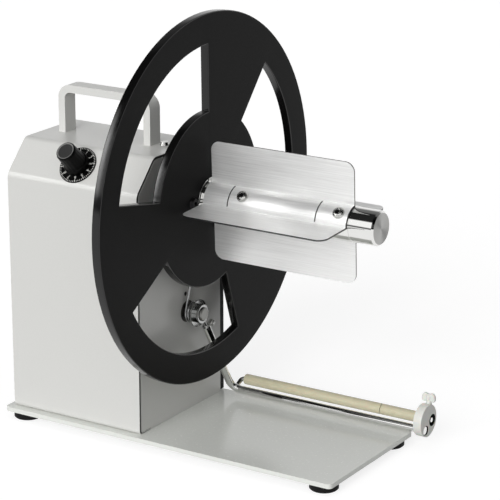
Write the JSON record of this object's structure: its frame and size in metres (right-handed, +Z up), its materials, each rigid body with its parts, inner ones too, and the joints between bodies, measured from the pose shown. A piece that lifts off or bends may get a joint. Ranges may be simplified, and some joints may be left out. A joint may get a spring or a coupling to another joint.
{
  "type": "label rewinder",
  "caption": "Motor-driven label rewinder: sheet-metal housing on a base plate, windowed reel disc with a finned core holder, and a sprung dancer arm with roller and edge guide.",
  "frame": {"origin": "bottom centre of the bounding box, on the plane the rubber feet stand on, with Y = 0 on the spindle axis", "axes": "+X along the spindle away from the housing, +Y from the front with the knob to the rear, +Z up"},
  "size_m": [0.2566, 0.232, 0.269],
  "materials": {
    "grey_paint": "pale warm grey powder coat, satin",
    "plate_paint": "pale grey powder coat, satin",
    "black_paint": "satin black",
    "white_paint": "satin off-white",
    "black_rubber": "matt black",
    "zinc_steel": "bright zinc",
    "black_steel": "black oxide",
    "chrome_steel": "polished",
    "fin_steel": "brushed along the spindle",
    "ground_steel": "ground",
    "spring_steel": "drawn wire",
    "cast_aluminium": "machined",
    "bush_brass": "turned",
    "black_plastic": "fine matt grain",
    "cream_plastic": "smooth cream",
    "white_nylon": "smooth off-white",
    "board_green": "solder mask"
  },
  "bodies": {
    "frame": {"base_plate": "plate_paint", "rubber_feet": "black_rubber", "foot_screws": "zinc_steel", "base_screws": "zinc_steel", "folded_cover": "grey_paint", "spindle_panel": "grey_paint", "left_panel": "grey_paint", "rear_cover": "black_paint", "cover_screws": "zinc_steel", "rear_screws": "black_steel", "carry_handle": "white_paint", "handle_screws": "zinc_steel", "dial_plate": "black_plastic", "potentiometer": "cast_aluminium", "pot_nut": "zinc_steel", "gear_motor": "cast_aluminium", "motor_bracket": "zinc_steel", "motor_screws": "zinc_steel", "drive_belt": "black_rubber", "bearing_block": "cast_aluminium", "bearing_screws": "zinc_steel", "bearing_outer_rings": "ground_steel", "bearing_balls": "ground_steel", "pivot_bush": "bush_brass", "arm_spring": "spring_steel", "spring_anchor": "zinc_steel", "cam_stop": "zinc_steel", "arm_switch": "black_plastic", "switch_posts": "zinc_steel", "control_board": "board_green", "board_posts": "bush_brass", "board_screws": "zinc_steel", "power_jack": "black_plastic", "switch_body": "black_plastic"},
    "spool": {"spindle_shaft": "chrome_steel", "shaft_pulley": "cast_aluminium", "shaft_clip": "black_steel", "bearing_inner_rings": "ground_steel", "hub_flange": "black_paint", "reel_disc": "black_paint", "front_washer": "chrome_steel", "disc_screws": "black_steel", "upper_fin": "fin_steel", "lower_fin": "fin_steel", "fin_screws": "fin_steel"},
    "motor_rotor": {"motor_shaft": "ground_steel", "motor_pulley": "cast_aluminium"},
    "knob": {"pot_shaft": "ground_steel", "speed_knob": "black_plastic"},
    "arm": {"pivot_shaft": "ground_steel", "arm_hub": "cast_aluminium", "hub_screw": "black_steel", "pivot_nut": "chrome_steel", "arm_rod": "chrome_steel", "switch_cam": "black_steel"},
    "roller": {"roller_tube": "cream_plastic", "roller_sleeve": "cream_plastic"},
    "guide": {"edge_guide": "white_nylon"},
    "guide_screw": {"wing_screw": "white_nylon"},
    "rocker": {"switch_rocker": "black_plastic"}
  },
  "joints": [
    {"name": "spool_spin", "type": "hinge", "parent": "frame", "child": "spool", "pos_m": [-0.02633, 0, 0.153], "axis": [1, 0, 0], "continuous": true},
    {"name": "motor_spin", "type": "hinge", "parent": "frame", "child": "motor_rotor", "pos_m": [-0.09633, -0.02, 0.07], "axis": [1, 0, 0], "continuous": true},
    {"name": "knob_turn", "type": "hinge", "parent": "frame", "child": "knob", "pos_m": [-0.07633, -0.0365, 0.172], "axis": [0, -0.725, 0.6887], "range_deg": [-150, 150]},
    {"name": "arm_swing", "type": "hinge", "parent": "frame", "child": "arm", "pos_m": [-0.02633, 0.0076, 0.0742], "axis": [1, 0, 0], "range_deg": [0, 35], "stiffness_Nm_per_rad": 0.15, "springref_deg": -28.65, "deforming": ["arm_spring"]},
    {"name": "roller_spin", "type": "hinge", "parent": "arm", "child": "roller", "pos_m": [-0.00933, 0.0519, 0.0176], "axis": [1, 0, 0], "continuous": true},
    {"name": "guide_slide", "type": "slide", "parent": "arm", "child": "guide", "axis": [1, 0, 0], "range_m": [-0.088, 0]},
    {"name": "wing_turn", "type": "hinge", "parent": "guide", "child": "guide_screw", "pos_m": [0.12373, 0.0519, 0.028], "axis": [0, 0, 1], "range_deg": [0, 360]},
    {"name": "rocker_tilt", "type": "hinge", "parent": "frame", "child": "rocker", "pos_m": [-0.05633, 0.049, 0.038], "axis": [1, 0, 0], "range_deg": [0, 16]}
  ],
  "couplings": [
    {"joint": "motor_spin", "follows": "spool_spin", "ratio": 2}
  ]
}
